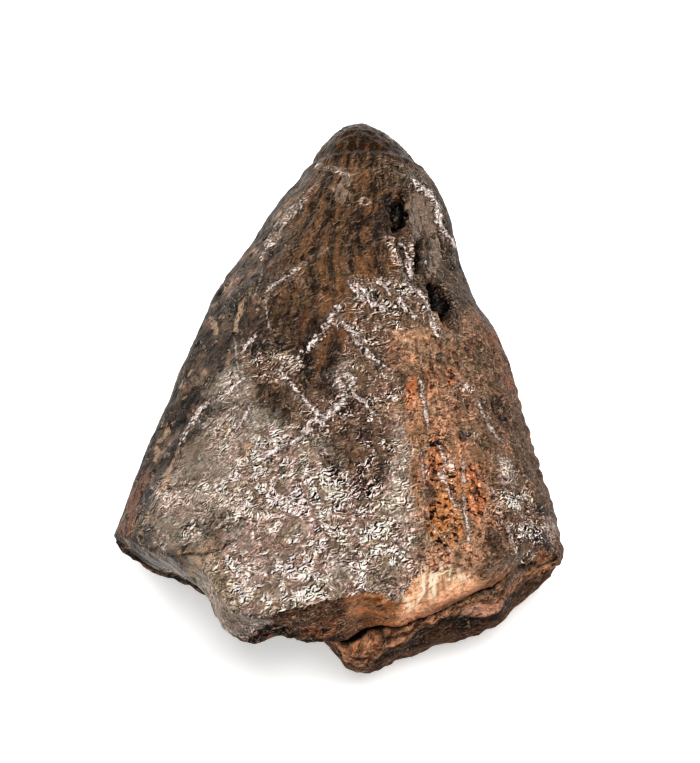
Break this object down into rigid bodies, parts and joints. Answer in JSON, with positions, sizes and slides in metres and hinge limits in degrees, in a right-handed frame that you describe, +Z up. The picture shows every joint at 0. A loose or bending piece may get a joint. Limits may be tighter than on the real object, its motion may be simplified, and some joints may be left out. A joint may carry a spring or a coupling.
{
  "type": "fossil tyrannosaur tooth",
  "caption": "Broken tip of a serrated, cone-shaped meat-eater's tooth, mineralised brown, lying on its flatter face.",
  "frame": {"origin": "on the small flat on the underside that the tooth rests on, below the middle of the crown", "axes": "+Y along the tooth, from the broken base to the worn tip; +X towards the serrated cutting edge; +Z up"},
  "size_m": [0.015, 0.02, 0.009],
  "materials": {
    "enamel": "mineralised tooth enamel, dark brown to grey-brown with orange iron stains, crinkled and half glossy"
  },
  "bodies": {
    "root": {"tooth": "enamel"}
  },
  "joints": []
}
